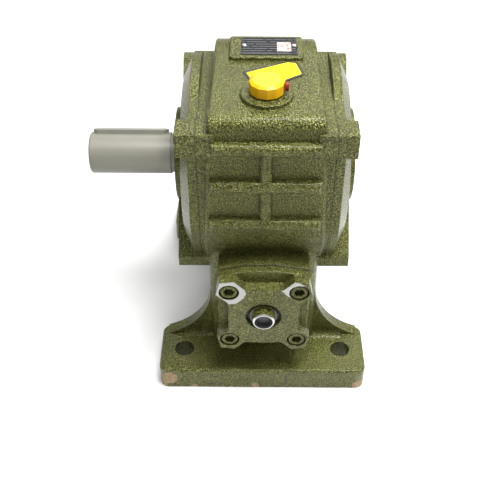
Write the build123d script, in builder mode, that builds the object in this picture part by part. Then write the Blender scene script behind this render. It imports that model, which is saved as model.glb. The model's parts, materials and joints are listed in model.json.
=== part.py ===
from build123d import *

import os
from math import acos, asin, atan2, cos, degrees, pi, radians, sin, sqrt, tan

os.makedirs("parts", exist_ok=True)

# Worm gearbox, worm below the wheel. Origin: centre of the foot bolt pattern, on the underside.
# +X runs away from the output shaft end, +Y towards the input shaft, +Z up. Millimetres.

# ---------------------------------------------------------------- driving dimensions
BASE_WIDTH = 235.0
BASE_LENGTH = 322.0
FOOT_LENGTH = 70.0
FOOT_THICKNESS = 30.0
WEB_THICKNESS = 14.0
HOLE_SPACING_X = 180.0
HOLE_SPACING_Y = 256.0
FOOT_HOLE_R = 11.0

WORM_Z = 120.0
CENTRE_DISTANCE = 108.0
OUT_Y = -17.0
OUT_Z = WORM_Z + CENTRE_DISTANCE

MODULE = 5.0
WHEEL_TEETH = 34
PITCH_R = MODULE * WHEEL_TEETH / 2
WORM_PITCH_R = CENTRE_DISTANCE - PITCH_R
PRESSURE_ANGLE = radians(20)
BACKLASH = 1.4
AXIAL_PITCH = pi * MODULE

CASE_HALF = 62.0
CASE_WIDE = 60.3
CASE_NARROW = 54.3
CASE_REAR_NARROW = 52.0
CASE_FRONT = 113.0
CASE_TOP = 118.0
CASE_EDGE = 11.0
CASE_SIDE_ROUND = 3.0
RIM_ROOT = 48.0
RIM_FACE = 65.5
RIM_FRONT = 107.0
RIM_TOP = 97.0
RIM_R = 109.0
BORE_R = 94.0
GASKET = 0.5
COVER_FACE = 75.0
COVER_CROWN = 85.0
RIB_FACE = 89.0
FOOT_LUG_FACE = 92.0
HUB_FACE = 94.0
HUB_R = 50.0
OUTER_RACE_R = 45.0
EAR_Y = (OUT_Y - 115, OUT_Y - 89)
EAR_Z = (OUT_Z + 78, OUT_Z + 103)
LUG_CORNERS = ((1, 1, 79), (-1, 1, 79), (-1, -1, 87), (1, -1, 79))
LUG_WIDTH = 18.0
COVER_SCREW_CIRCLE = 100.0
COVER_SCREW_R = 4.0
COVER_SCREW_SEAT = 79.5
COVER_SCREW_DEPTH = 18.0

TRUNK_HALF = 59.0
TRUNK_BOTTOM = 12.0
WORM_BORE_R = 36.0
BOSS_START = 80.0
BOSS_FACE = 122.0
SEAM_ROUND = 1.3
BOSS_HALF = 48.0
BOSS_RISE = 56.0
PLATE_FACE = 132.0
CAP_FACE = 143.5
CAP_SCREW_OFFSET = 36.3
CAP_SCREW_R = 6.0
CAP_SCREW_SEAT = CAP_FACE - 12.5
CAP_SCREW_DEPTH = 24.0
CAP_HOLE_R = 19.0
CAP_HUB_R = 36.5

CASE_CROWN = OUT_Z + CASE_TOP
PAD_HEIGHT = 4.0
PAD_Y = (OUT_Y - 8, OUT_Y + 36)
PLUG_R = 9.0
PLUG_CAP_R = 16.8
BREATHER_Y = OUT_Y - 71
BREATHER_BOSS_R = 25.0
DRAIN_Y = OUT_Y + 50
DRAIN_Z = 50.0
GLASS_Y = OUT_Y + 40
GLASS_Z = 86.0

OUTPUT_R = 22.5
OUTPUT_END = -189.0
OUTPUT_SEAT_R = 25.0
KEY_WIDTH = 14.0
KEY_TURN = 27.0
INPUT_R = 15.0
INPUT_END = 228.0
WORM_SEAT_R = 15.0
WHEEL_SEAT_R = 27.0
WHEEL_SEAT_HALF = 30.0
RACE_LEAN = radians(14)
FIT = 0.02
GAP = 0.3

O_AXIS = Axis((0, OUT_Y, OUT_Z), (1, 0, 0))
W_AXIS = Axis((0, 0, WORM_Z), (0, 1, 0))
O_TURN = Plane(origin=(0, OUT_Y, OUT_Z), x_dir=(1, 0, 0), z_dir=(0, -1, 0))
W_TURN = Plane(origin=(0, OUT_Y, WORM_Z), x_dir=(0, 1, 0), z_dir=(1, 0, 0))


# ---------------------------------------------------------------- shared shapes
def side_plane(x):
    """Plane square to the output shaft; its own axes are Y and Z, measured from the shaft's axis."""
    return Plane(origin=(x, OUT_Y, OUT_Z), x_dir=(0, 1, 0), z_dir=(1, 0, 0))


def front_plane(along):
    """Plane facing the stub end, a distance in front of the output axis; its axes are X and Z from the worm."""
    return Plane(origin=(0, OUT_Y - along, WORM_Z), x_dir=(1, 0, 0), z_dir=(0, -1, 0))


def rear_plane(along):
    """Plane facing the input end, a distance behind the output axis."""
    return Plane(origin=(0, OUT_Y + along, WORM_Z), x_dir=(-1, 0, 0), z_dir=(0, 1, 0))


def turned(plane, *outline):
    """Solid of revolution about the plane's x axis, from (along, radius) points."""
    with BuildPart() as piece:
        with BuildSketch(plane):
            with BuildLine():
                Polyline(*outline, close=True)
            make_face()
        revolve(axis=Axis(plane.origin, plane.x_dir))
    return piece.part


def ring(plane, start, end, inner, outer, bevel=0.0):
    """Turned ring, or a disc when inner is 0, with an optional bevel on its outer edges."""
    outline = [(start, inner), (start, outer - bevel)]
    if bevel:
        outline += [(start + bevel, outer), (end - bevel, outer)]
    outline += [(end, outer - bevel), (end, inner)]
    return turned(plane, *outline)


def stepped(plane, *steps):
    """Shaft from (start, end, radius) steps, with a small bevel at both ends."""
    bevel = 1.5
    first, last = steps[0], steps[-1]
    outline = [(first[0], 0), (first[0], first[2] - bevel), (first[0] + bevel, first[2])]
    for here, after in zip(steps, steps[1:]):
        outline += [(here[1], here[2]), (after[0], after[2])]
    outline += [(last[1] - bevel, last[2]), (last[1], last[2] - bevel), (last[1], 0)]
    return turned(plane, *outline)


def extruded(plane, points, depth):
    """Straight prism on a plane from a closed outline."""
    with BuildPart() as piece:
        with BuildSketch(plane):
            with BuildLine():
                Polyline(*points, close=True)
            make_face()
        extrude(amount=depth)
    return piece.part


def block(low, high):
    """Box between two corners."""
    size = [high[i] - low[i] for i in range(3)]
    middle = tuple((high[i] + low[i]) / 2 for i in range(3))
    with BuildPart() as piece:
        with Locations(middle):
            Box(*size)
    return piece.part


def save(part, name):
    part.label = name
    export_step(part, f"parts/{name}.step")


def case_outline(inset=0.0):
    """Side view of the gear case: square at the front top, round at the back and below."""
    front = -CASE_FRONT + inset
    top = CASE_TOP - inset
    back = CASE_FRONT - inset
    corner = CASE_EDGE
    shoulder = 13.0
    rear_r = back - shoulder
    with BuildLine() as line:
        Line((front, 0), (front, top - corner))
        RadiusArc((front, top - corner), (front + corner, top), corner)
        Line((front + corner, top), (shoulder, top))
        RadiusArc((shoulder, top), (back, top - rear_r), rear_r)
        Line((back, top - rear_r), (back, 0))
        ThreePointArc((back, 0), (0, -back), (front, 0))
    return line.line


def rim_outline():
    """Side view of the side rims and covers: a disc with a square front top corner."""
    corner = 3.0
    top_end = sqrt(RIM_R**2 - RIM_TOP**2)
    front_end = -sqrt(RIM_R**2 - RIM_FRONT**2)
    with BuildLine() as line:
        Line((-RIM_FRONT, front_end), (-RIM_FRONT, RIM_TOP - corner))
        RadiusArc((-RIM_FRONT, RIM_TOP - corner), (-RIM_FRONT + corner, RIM_TOP), corner)
        Line((-RIM_FRONT + corner, RIM_TOP), (top_end, RIM_TOP))
        ThreePointArc((top_end, RIM_TOP), (0, -RIM_R), (-RIM_FRONT, front_end))
    return line.line


def on_side(outline, x, depth):
    """Prism of a side view outline, from x, along X by depth."""
    with BuildPart() as piece:
        with BuildSketch(side_plane(x)):
            with BuildLine():
                add(outline)
            make_face()
        extrude(amount=depth)
    return piece.part


def cap_outline(half, rise):
    """Front view of the worm boss and cap plate: straight sides, bowed top and bottom."""
    edge = rise - 8.0
    with BuildLine() as line:
        Line((-half, -edge), (-half, edge))
        ThreePointArc((-half, edge), (0, rise), (half, edge))
        Line((half, edge), (half, -edge))
        ThreePointArc((half, -edge), (0, -rise), (-half, -edge))
    return line.line


def on_cap(plane, half, rise, depth):
    with BuildPart() as piece:
        with BuildSketch(plane):
            with BuildLine():
                add(cap_outline(half, rise))
            make_face()
        extrude(amount=depth)
    return piece.part


# ---------------------------------------------------------------- housing
def flared_web(near, far):
    """Cross web at the back of a foot, sweeping up from the foot into the trunk on both sides."""
    reach = 111.0
    middle = (78, 52)
    sweep_top = 104.0
    with BuildPart() as web:
        with BuildSketch(Plane(origin=(0, near, 0), x_dir=(-1, 0, 0), z_dir=(0, 1, 0))):
            with BuildLine():
                Polyline((-reach, FOOT_THICKNESS), (-reach, 0), (reach, 0), (reach, FOOT_THICKNESS))
                ThreePointArc((reach, FOOT_THICKNESS), middle, (TRUNK_HALF, sweep_top))
                Line((TRUNK_HALF, sweep_top), (-TRUNK_HALF, sweep_top))
                ThreePointArc(
                    (-TRUNK_HALF, sweep_top), (-middle[0], middle[1]), (-reach, FOOT_THICKNESS)
                )
            make_face()
        extrude(amount=far - near)
    return web.part


def foot(side):
    """One foot pad with two bolt holes; side is -1 in front, 1 behind."""
    middle = side * (BASE_LENGTH - FOOT_LENGTH) / 2
    with BuildPart() as pad:
        with BuildSketch():
            with Locations((0, middle)):
                RectangleRounded(BASE_WIDTH, FOOT_LENGTH, 10)
        extrude(amount=FOOT_THICKNESS)
        fillet(pad.faces().sort_by(Axis.Z)[-1].edges(), 3)
        with BuildSketch():
            for x in (-HOLE_SPACING_X / 2, HOLE_SPACING_X / 2):
                with Locations((x, side * HOLE_SPACING_Y / 2)):
                    Circle(FOOT_HOLE_R)
        extrude(amount=FOOT_THICKNESS, mode=Mode.SUBTRACT)
    return pad.part


def panel_rib(x0, x1, z0, z1, proud, round_r):
    """Raised bar on the front panel, softened on its outer face."""
    rib = block(
        (x0, OUT_Y - CASE_FRONT - proud, z0), (x1, OUT_Y - CASE_FRONT + 4, z1)
    )
    with BuildPart() as bar:
        add(rib)
        front = bar.faces().sort_by(Axis.Y)[0]
        fillet(front.edges(), round_r)
    return bar.part


def front_ribs():
    """Three cross bars and one upright on the front panel."""
    half_height = 6.5
    bars = [
        panel_rib(-half, half, z - half_height, z + half_height, 8.0, 5.0)
        for half, z in ((51.5, 316), (54, 273), (55.5, 226))
    ]
    bars.append(panel_rib(-6, 6, 222, 314, 6.0, 4.0))
    return bars


def tail_rib():
    """Tapering tail of the upright, running down the curved wall below the panel."""
    side_view = [(-119, 2), (-118.5, -8), (-104.5, -46), (-90, -40), (-100, 2)]
    front_view = [(-5.5, 112), (5.5, 112), (1.5, 60), (-1.5, 60)]
    with BuildPart() as rib:
        add(extruded(side_plane(-8), side_view, 16))
        add(extruded(front_plane(80), front_view, 45), mode=Mode.INTERSECT)
    return rib.part


def worm_boss(plane):
    """Bowed boss at one end of the worm housing, with a softened rim where the cap seats."""
    with BuildPart() as boss:
        add(on_cap(plane, BOSS_HALF, BOSS_RISE, BOSS_FACE - BOSS_START))
        outer = boss.faces().sort_by(Axis(plane.origin, plane.z_dir))[-1]
        fillet(outer.edges(), SEAM_ROUND)
    return boss.part


def trunk():
    """Worm housing running front to back under the gear case, with a bowed boss at both ends."""
    with BuildPart() as body:
        with BuildSketch(front_plane(-98)):
            with BuildLine():
                Polyline(
                    (-TRUNK_HALF, TRUNK_BOTTOM - WORM_Z),
                    (-TRUNK_HALF, 95),
                    (TRUNK_HALF, 95),
                    (TRUNK_HALF, TRUNK_BOTTOM - WORM_Z),
                    close=True,
                )
            make_face()
        extrude(amount=196)
        fillet(body.edges().filter_by(Axis.Z), 14)
        add(worm_boss(front_plane(BOSS_START)))
        add(worm_boss(rear_plane(BOSS_START)))
    return body.part


def ear(x0, x1):
    """Square lug at the top front corner of a side rim or cover."""
    return block((x0, EAR_Y[0], EAR_Z[0]), (x1, EAR_Y[1], EAR_Z[1]))


def corner_lug(toward_rear, toward_top, corner, x0, x1):
    """Diagonal bar from the hub out to a square corner, where the cover screws sit."""
    notch = LUG_WIDTH / sqrt(2)
    root = 28.0
    outline = [
        (corner - notch, corner),
        (corner, corner),
        (corner, corner - notch),
        (root + notch, root),
        (root, root + notch),
    ]
    points = [(toward_rear * y, toward_top * z) for y, z in outline]
    return extruded(side_plane(x0), points, x1 - x0)


def corner_lugs(x0, x1):
    return [corner_lug(*corner, x0, x1) for corner in LUG_CORNERS]


def bolt_ring(plane, radius, count, hole_r, depth, start=0.0):
    """Ring of round pins used to cut bolt holes."""
    with BuildPart() as pins:
        with BuildSketch(plane):
            with PolarLocations(radius, count, start_angle=start):
                Circle(hole_r)
        extrude(amount=depth)
    return pins.part


def nameplate_pad():
    with BuildPart() as pad:
        add(block((-37, PAD_Y[0], CASE_CROWN - 8), (37, PAD_Y[1], CASE_CROWN + PAD_HEIGHT)))
        fillet(pad.edges().filter_by(Axis.Z), 4)
        fillet(pad.faces().sort_by(Axis.Z)[-1].edges(), 1.5)
    return pad.part


def upright(x, y, z0, z1, radius, top_bevel=0.0):
    """Vertical round boss or pin."""
    with BuildPart() as pin:
        with BuildSketch(Plane(origin=(x, y, z0))):
            Circle(radius)
        extrude(amount=z1 - z0)
        if top_bevel:
            fillet(pin.faces().sort_by(Axis.Z)[-1].edges(), top_bevel)
    return pin.part


def sideways(y, z, x0, x1, radius):
    """Round pin along X."""
    with BuildPart() as pin:
        with BuildSketch(Plane(origin=(x0, y, z), x_dir=(0, 1, 0), z_dir=(1, 0, 0))):
            Circle(radius)
        extrude(amount=x1 - x0)
    return pin.part


def screw_square(plane, radius, depth):
    """Four pins on the cap's screw square."""
    side = 2 * CAP_SCREW_OFFSET
    with BuildPart() as pins:
        with BuildSketch(plane):
            with GridLocations(side, side, 2, 2):
                Circle(radius)
        extrude(amount=depth)
    return pins.part


def draft_cutter():
    """Slab that trims the right side of the case to its casting draft, narrower upward and rearward."""
    low = Vector(CASE_WIDE, OUT_Y - CASE_FRONT, OUT_Z)
    high = Vector(CASE_NARROW, OUT_Y - CASE_FRONT, CASE_CROWN)
    rear = Vector(CASE_REAR_NARROW, 20, CASE_CROWN)
    outward = (high - low).cross(rear - high) * -1
    with BuildPart() as cutter:
        with BuildSketch(Plane(origin=low, x_dir=high - low, z_dir=outward)):
            Rectangle(800, 800)
        extrude(amount=40)
    return cutter.part


def gear_case():
    """Body of the case with drafted sides and softened side edges."""
    cutter = draft_cutter()
    with BuildPart() as case:
        add(on_side(case_outline(), -CASE_HALF, 2 * CASE_HALF))
        add(cutter, mode=Mode.SUBTRACT)
        add(cutter.mirror(Plane.YZ), mode=Mode.SUBTRACT)
        sides = case.faces().sort_by(Axis.X)
        for side in (sides[0], sides[-1]):
            fillet(side.edges(), CASE_SIDE_ROUND)
    return case.part


def side_rim(x0, x1):
    """Pieces of the raised band that a side cover bolts to, with its ear and corner lugs."""
    return [on_side(rim_outline(), x0, x1 - x0), ear(x0, x1), *corner_lugs(x0, x1)]


def foot_cove():
    """Rounded fillet along the inner corner between the front foot and its web."""
    radius = 8.0
    reach = 92.0
    back = -BASE_LENGTH / 2 + FOOT_LENGTH - WEB_THICKNESS
    with BuildPart() as cove:
        with BuildSketch(Plane(origin=(-reach, 0, 0), x_dir=(0, 1, 0), z_dir=(1, 0, 0))):
            with BuildLine():
                Polyline(
                    (back - radius, FOOT_THICKNESS),
                    (back - radius, FOOT_THICKNESS - 4),
                    (back + 2, FOOT_THICKNESS - 4),
                    (back + 2, FOOT_THICKNESS + radius),
                    (back, FOOT_THICKNESS + radius),
                )
                hollow = radius * (1 - sqrt(0.5))
                ThreePointArc(
                    (back, FOOT_THICKNESS + radius),
                    (back - hollow, FOOT_THICKNESS + hollow),
                    (back - radius, FOOT_THICKNESS),
                )
            make_face()
        extrude(amount=2 * reach)
    return cove.part


def cover_screw_pins(x, radius, depth):
    """Four pins on the cover screw circle, running along X from x."""
    return bolt_ring(side_plane(x), COVER_SCREW_CIRCLE, 4, radius, depth, 45)


def housing_solids():
    web_back = BASE_LENGTH / 2 - FOOT_LENGTH
    cove = foot_cove()
    return [
        gear_case(),
        trunk(),
        foot(-1),
        foot(1),
        flared_web(-web_back - WEB_THICKNESS, -web_back),
        flared_web(web_back, web_back + WEB_THICKNESS),
        cove,
        cove.mirror(Plane.XZ),
        *side_rim(RIM_ROOT, RIM_FACE),
        *side_rim(-RIM_FACE, -RIM_ROOT),
        nameplate_pad(),
        upright(0, BREATHER_Y, CASE_CROWN - 3, CASE_CROWN + 4, BREATHER_BOSS_R, 1.5),
        sideways(DRAIN_Y, DRAIN_Z, -TRUNK_HALF - 4, -TRUNK_HALF + 4, 14),
        sideways(GLASS_Y, GLASS_Z, TRUNK_HALF - 4, TRUNK_HALF + 4, 21),
        tail_rib(),
        *front_ribs(),
    ]


def housing_cuts():
    return [
        ring(O_TURN, -RIM_FACE - 1, RIM_FACE + 1, 0, BORE_R),
        ring(W_TURN, -BOSS_FACE - 1, BOSS_FACE + 1, 0, WORM_BORE_R),
        block((-34, OUT_Y - 70, 34), (34, OUT_Y + 70, WORM_Z)),
        cover_screw_pins(RIM_FACE - COVER_SCREW_DEPTH, COVER_SCREW_R, COVER_SCREW_DEPTH),
        cover_screw_pins(-RIM_FACE, COVER_SCREW_R, COVER_SCREW_DEPTH),
        screw_square(front_plane(BOSS_FACE - CAP_SCREW_DEPTH), CAP_SCREW_R, CAP_SCREW_DEPTH),
        screw_square(rear_plane(BOSS_FACE - CAP_SCREW_DEPTH), CAP_SCREW_R, CAP_SCREW_DEPTH),
        upright(0, BREATHER_Y, OUT_Z + 60, CASE_CROWN + 5, PLUG_R),
        sideways(DRAIN_Y, DRAIN_Z, -TRUNK_HALF - 5, -30, PLUG_R),
        sideways(GLASS_Y, GLASS_Z, 30, TRUNK_HALF + 5, 14),
    ]


def make_housing():
    with BuildPart() as housing:
        for piece in housing_solids():
            add(piece)
        for piece in housing_cuts():
            add(piece, mode=Mode.SUBTRACT)
    return housing.part


# ---------------------------------------------------------------- side covers
def cover_blank(bore_r):
    """Turned body of the right-hand cover: spigot, flange, crowned face, hub and bearing seat."""
    return turned(
        O_TURN,
        (60, 50),
        (60, BORE_R - FIT * 2),
        (RIM_FACE + GASKET, BORE_R - FIT * 2),
        (RIM_FACE + GASKET, RIM_R - 2),
        (COVER_FACE, RIM_R - 1),
        (COVER_CROWN, 86),
        (COVER_CROWN, 78),
        (COVER_CROWN - 4, 70),
        (COVER_CROWN - 4, HUB_R + 5),
        (COVER_CROWN, HUB_R + 1),
        (HUB_FACE, HUB_R),
        (HUB_FACE, bore_r),
        (84, bore_r),
        (84, OUTER_RACE_R + FIT),
        (60, OUTER_RACE_R + FIT),
    )


def make_cover(bore_r):
    """Cover for the blind side, +X; the output side is its mirror image."""
    flange_start = RIM_FACE + GASKET
    with BuildPart() as cover:
        add(on_side(rim_outline(), flange_start, COVER_FACE - flange_start))
        add(ring(O_TURN, 50, 90, 0, BORE_R - 4), mode=Mode.SUBTRACT)
        add(cover_blank(bore_r))
        add(ear(flange_start, COVER_CROWN))
        for corner in LUG_CORNERS:
            in_front_below = corner[0] < 0 and corner[1] < 0
            face = FOOT_LUG_FACE if in_front_below else RIB_FACE
            add(corner_lug(*corner, flange_start, face))
        add(ring(O_TURN, 40, 60, 0, BORE_R), mode=Mode.SUBTRACT)
        add(ring(O_TURN, 60, 84, 0, OUTER_RACE_R + FIT), mode=Mode.SUBTRACT)
        add(ring(O_TURN, 80, 110, 0, bore_r), mode=Mode.SUBTRACT)
        add(cover_screw_pins(COVER_SCREW_SEAT, 7.0, 20), mode=Mode.SUBTRACT)
        add(cover_screw_pins(RIM_FACE, COVER_SCREW_R + 0.5, 20), mode=Mode.SUBTRACT)
    return cover.part


def cover_screws():
    """Four socket head screws for the right-hand cover, sunk in its corner lugs."""
    head_r = 6.5
    head_height = 8.0
    start = RIM_FACE - COVER_SCREW_DEPTH + 2
    with BuildPart() as screws:
        add(cover_screw_pins(start, COVER_SCREW_R - 0.05, COVER_SCREW_SEAT - start))
        add(cover_screw_pins(COVER_SCREW_SEAT, head_r, head_height))
        with BuildSketch(side_plane(COVER_SCREW_SEAT + head_height)):
            with PolarLocations(COVER_SCREW_CIRCLE, 4, start_angle=45):
                RegularPolygon(3, 6, major_radius=False)
        extrude(amount=-4, mode=Mode.SUBTRACT)
    return screws.part


def cover_gasket():
    with BuildPart() as gasket:
        for piece in side_rim(RIM_FACE, RIM_FACE + GASKET):
            add(piece)
        add(ring(O_TURN, 60, 70, 0, BORE_R + 0.5), mode=Mode.SUBTRACT)
        add(cover_screw_pins(RIM_FACE - 1, COVER_SCREW_R + 0.5, 3), mode=Mode.SUBTRACT)
    return gasket.part


# ---------------------------------------------------------------- worm caps
def cap_star():
    """Front view of the raised body of a worm cap: four angled lugs."""
    quarter = [(37.5, 21), (50, 33), (46, 50), (31, 52), (20, 40.5)]
    points = []
    for sx, sy, step in ((1, 1, 1), (-1, 1, -1), (-1, -1, 1), (1, -1, -1)):
        points += [(sx * x, sy * y) for x, y in quarter[::step]]
    return points


def make_cap(plane_at, hole_r, hollow_r):
    """Worm cap on one end: gasket face plate, star body, hub, spigot and counterbored screw holes."""
    start = BOSS_FACE + GASKET
    with BuildPart() as cap:
        add(on_cap(plane_at(start), BOSS_HALF, BOSS_RISE, PLATE_FACE - start))
        faces = cap.faces().sort_by(Axis(plane_at(0).origin, plane_at(0).z_dir))
        fillet([*faces[0].edges(), *faces[-1].edges()], SEAM_ROUND)
        add(extruded(plane_at(PLATE_FACE - 1), cap_star(), CAP_FACE - PLATE_FACE + 1))
        with BuildSketch(plane_at(PLATE_FACE - 1)):
            Circle(CAP_HUB_R)
        extrude(amount=CAP_FACE - PLATE_FACE + 1)
        with BuildSketch(plane_at(BOSS_FACE - 3.5)):
            Circle(WORM_BORE_R - FIT)
        extrude(amount=4.5)
        with BuildSketch(plane_at(BOSS_FACE - 5)):
            Circle(hole_r)
        extrude(amount=40, mode=Mode.SUBTRACT)
        with BuildSketch(plane_at(BOSS_FACE - 5)):
            Circle(hollow_r)
        extrude(amount=15, mode=Mode.SUBTRACT)
        add(screw_square(plane_at(BOSS_FACE - 2), 6.6, 30), mode=Mode.SUBTRACT)
        add(screw_square(plane_at(CAP_SCREW_SEAT), 10.5, 20), mode=Mode.SUBTRACT)
    return cap.part


def cap_screws(plane_at):
    """Four socket head screws with hexagon sockets."""
    start = BOSS_FACE - CAP_SCREW_DEPTH + 4
    side = 2 * CAP_SCREW_OFFSET
    head_height = 12.0
    with BuildPart() as screws:
        add(screw_square(plane_at(start), CAP_SCREW_R - 0.05, CAP_SCREW_SEAT + 1 - start))
        add(screw_square(plane_at(CAP_SCREW_SEAT), 9, head_height))
        head_faces = screws.faces().filter_by(GeomType.PLANE)
        outermost = head_faces.group_by(Axis(plane_at(0).origin, plane_at(0).z_dir))[-1]
        chamfer(outermost.edges(), 0.8)
        with BuildSketch(plane_at(CAP_SCREW_SEAT + head_height)):
            with GridLocations(side, side, 2, 2):
                RegularPolygon(5, 6, major_radius=False)
        extrude(amount=-6, mode=Mode.SUBTRACT)
    return screws.part


def cap_gasket(plane_at):
    with BuildPart() as gasket:
        add(on_cap(plane_at(BOSS_FACE), BOSS_HALF, BOSS_RISE, GASKET))
        with BuildSketch(plane_at(BOSS_FACE)):
            Circle(WORM_BORE_R + 0.5)
        extrude(amount=GASKET, mode=Mode.SUBTRACT)
        add(screw_square(plane_at(BOSS_FACE), 6.6, GASKET), mode=Mode.SUBTRACT)
    return gasket.part


# ---------------------------------------------------------------- rolling bearings
def taper_bearing(plane, face, width, bore_r, outer_r, roller_r, count, flip):
    """Inner ring, rollers with cage, and outer ring; all cones share one apex on the axis."""
    mean_r = (bore_r + outer_r) / 2
    apex = mean_r / tan(RACE_LEAN)
    spread = asin(roller_r * cos(RACE_LEAN) / apex)
    middle = face + width / 2
    toward = -1 if flip else 1

    def race_r(along, angle):
        return (apex + toward * (along - middle)) * tan(angle)

    low, high = face, face + width
    inner = turned(
        plane,
        (low, bore_r + FIT / 2),
        (low, race_r(low, RACE_LEAN - spread)),
        (high, race_r(high, RACE_LEAN - spread)),
        (high, bore_r + FIT / 2),
    )
    outer = turned(
        plane,
        (low, race_r(low, RACE_LEAN + spread)),
        (low, outer_r),
        (high, outer_r),
        (high, race_r(high, RACE_LEAN + spread)),
    )
    slope = spread * (roller_r - GAP) / roller_r
    mean_s = apex / cos(RACE_LEAN)
    half = width * 0.36
    rollers = []
    for index in range(count):
        turn = 2 * pi * index / count
        out = plane.y_dir * cos(turn) + plane.z_dir * sin(turn)
        along = plane.x_dir * toward
        axis_dir = along * cos(RACE_LEAN) + out * sin(RACE_LEAN)
        tip = plane.origin + plane.x_dir * (middle - toward * apex)
        start = tip + axis_dir * (mean_s - half)
        small = (mean_s - half) * tan(slope)
        large = (mean_s + half) * tan(slope)
        with BuildPart(Plane(origin=start, z_dir=axis_dir)) as roller:
            Cone(small, large, 2 * half, align=(Align.CENTER, Align.CENTER, Align.MIN))
        rollers.append(roller.part)
    return inner, outer, rollers


def roller_cage(plane, face, width, bore_r, outer_r, flip):
    """Two thin rings that hold the rollers apart, one at each end."""
    mean_r = (bore_r + outer_r) / 2
    toward = -1 if flip else 1
    middle = face + width / 2
    offset = width * 0.43
    rings = []
    for side in (-1, 1):
        at = middle + side * offset
        radius = mean_r + toward * (at - middle) * tan(RACE_LEAN)
        rings.append(ring(plane, at - 0.7, at + 0.7, radius - 2.2, radius + 2.2))
    return rings


def save_bearing(name, plane, face, width, bore_r, outer_r, roller_r, count, flip):
    inner, outer, rollers = taper_bearing(
        plane, face, width, bore_r, outer_r, roller_r, count, flip
    )
    cage = roller_cage(plane, face, width, bore_r, outer_r, flip)
    save(inner, f"{name}_inner_ring")
    save(outer, f"{name}_outer_ring")
    save(Compound(children=[*rollers, *cage]), f"{name}_rollers")


# ---------------------------------------------------------------- shafts and gears
def key_block(plane, along0, along1, width, seat, top, turn):
    """Round-ended parallel key lying on a shaft along the plane's x axis, turned about it."""
    axis = Axis(plane.origin, plane.x_dir)
    bed = Plane(
        origin=plane.origin + plane.y_dir * seat, x_dir=plane.x_dir, z_dir=plane.y_dir
    )
    with BuildPart() as key:
        with BuildSketch(bed):
            with Locations(((along0 + along1) / 2, 0)):
                SlotOverall(along1 - along0, width)
        extrude(amount=top - seat)
    return key.part.rotate(axis, turn)


def output_key_block(top):
    """Key of the output end, or its keyway cutter when top clears the shaft."""
    return key_block(O_TURN, OUTPUT_END + 3, -104, KEY_WIDTH, OUTPUT_R - 5.5, top, -KEY_TURN)


def input_key_block(top):
    """Key of the input end, or its keyway cutter when top clears the shaft."""
    end = INPUT_END - OUT_Y
    return key_block(W_TURN, end - 62, end - 4, 8, INPUT_R - 4, top, 0)


def wheel_key_block(top):
    """Key between the shaft and the wheel hub, or its keyway cutter when top clears the shaft."""
    return key_block(O_TURN, -24, 24, 16, WHEEL_SEAT_R - 6, top, 0)


def make_output_shaft():
    """Shaft with its wheel seat and shoulder, bearing seats, keyways and a threaded end hole."""
    key_seat = output_key_block(OUTPUT_R + 6)
    wheel_seat = wheel_key_block(WHEEL_SEAT_R + 7)
    with BuildPart() as shaft:
        add(
            stepped(
                O_TURN,
                (OUTPUT_END, -101, OUTPUT_R),
                (-101, -94, 21),
                (-94, -38, OUTPUT_SEAT_R),
                (-38, -WHEEL_SEAT_HALF, 33),
                (-WHEEL_SEAT_HALF, WHEEL_SEAT_HALF, WHEEL_SEAT_R),
                (WHEEL_SEAT_HALF, 82, OUTPUT_SEAT_R),
            )
        )
        add(key_seat, mode=Mode.SUBTRACT)
        add(wheel_seat, mode=Mode.SUBTRACT)
        add(ring(O_TURN, OUTPUT_END, OUTPUT_END + 32, 0, 7), mode=Mode.SUBTRACT)
        countersink = turned(
            O_TURN, (OUTPUT_END, 0), (OUTPUT_END, 9.5), (OUTPUT_END + 3, 7), (OUTPUT_END + 3, 0)
        )
        add(countersink, mode=Mode.SUBTRACT)
    return shaft.part


def tooth_half_angle(radius, gap):
    """Half the angle that a wheel tooth fills at a radius, from the involute of the base circle."""
    base_r = PITCH_R * cos(PRESSURE_ANGLE)
    here = acos(min(1.0, base_r / max(radius, base_r)))
    involute = (tan(PRESSURE_ANGLE) - PRESSURE_ANGLE) - (tan(here) - here)
    return pi / (2 * WHEEL_TEETH) - gap / (2 * PITCH_R) + involute


WHEEL_ROOT_R = PITCH_R - 1.25 * MODULE
WHEEL_THROAT_R = PITCH_R + MODULE
WHEEL_OUTER_R = 92.0
RIM_SEAT_R = 68.0
RIM_HALF = 19.0
LEAD_ANGLE = MODULE / (2 * WORM_PITCH_R)


def tooth_space():
    """Cutter for one gap between two wheel teeth, below the wheel's axis, slanted to the worm's lead."""
    half_pitch = pi / WHEEL_TEETH

    def flank(radius, side):
        angle = half_pitch - tooth_half_angle(radius, BACKLASH / 2)
        return (side * radius * sin(angle), -radius * cos(angle))

    far = WHEEL_OUTER_R + 3
    with BuildPart() as cutter:
        with BuildSketch(side_plane(0)):
            with BuildLine():
                Line(flank(WHEEL_ROOT_R, -1), flank(WHEEL_ROOT_R, 1))
                ThreePointArc(flank(WHEEL_ROOT_R, 1), flank(PITCH_R, 1), flank(far, 1))
                Line(flank(far, 1), flank(far, -1))
                ThreePointArc(flank(far, -1), flank(PITCH_R, -1), flank(WHEEL_ROOT_R, -1))
            make_face()
        extrude(amount=RIM_HALF + 4, dir=(1, tan(LEAD_ANGLE), 0))
        extrude(
            cutter.faces().filter_by(Axis.X).sort_by(Axis.X)[0],
            amount=RIM_HALF + 4,
            dir=(-1, -tan(LEAD_ANGLE), 0),
        )
    return cutter.part


def rim_pins(radius):
    """Six lock pins on the joint between the bronze rim and the iron hub."""
    return bolt_ring(side_plane(-12), RIM_SEAT_R, 6, radius, 24, 30)


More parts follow.
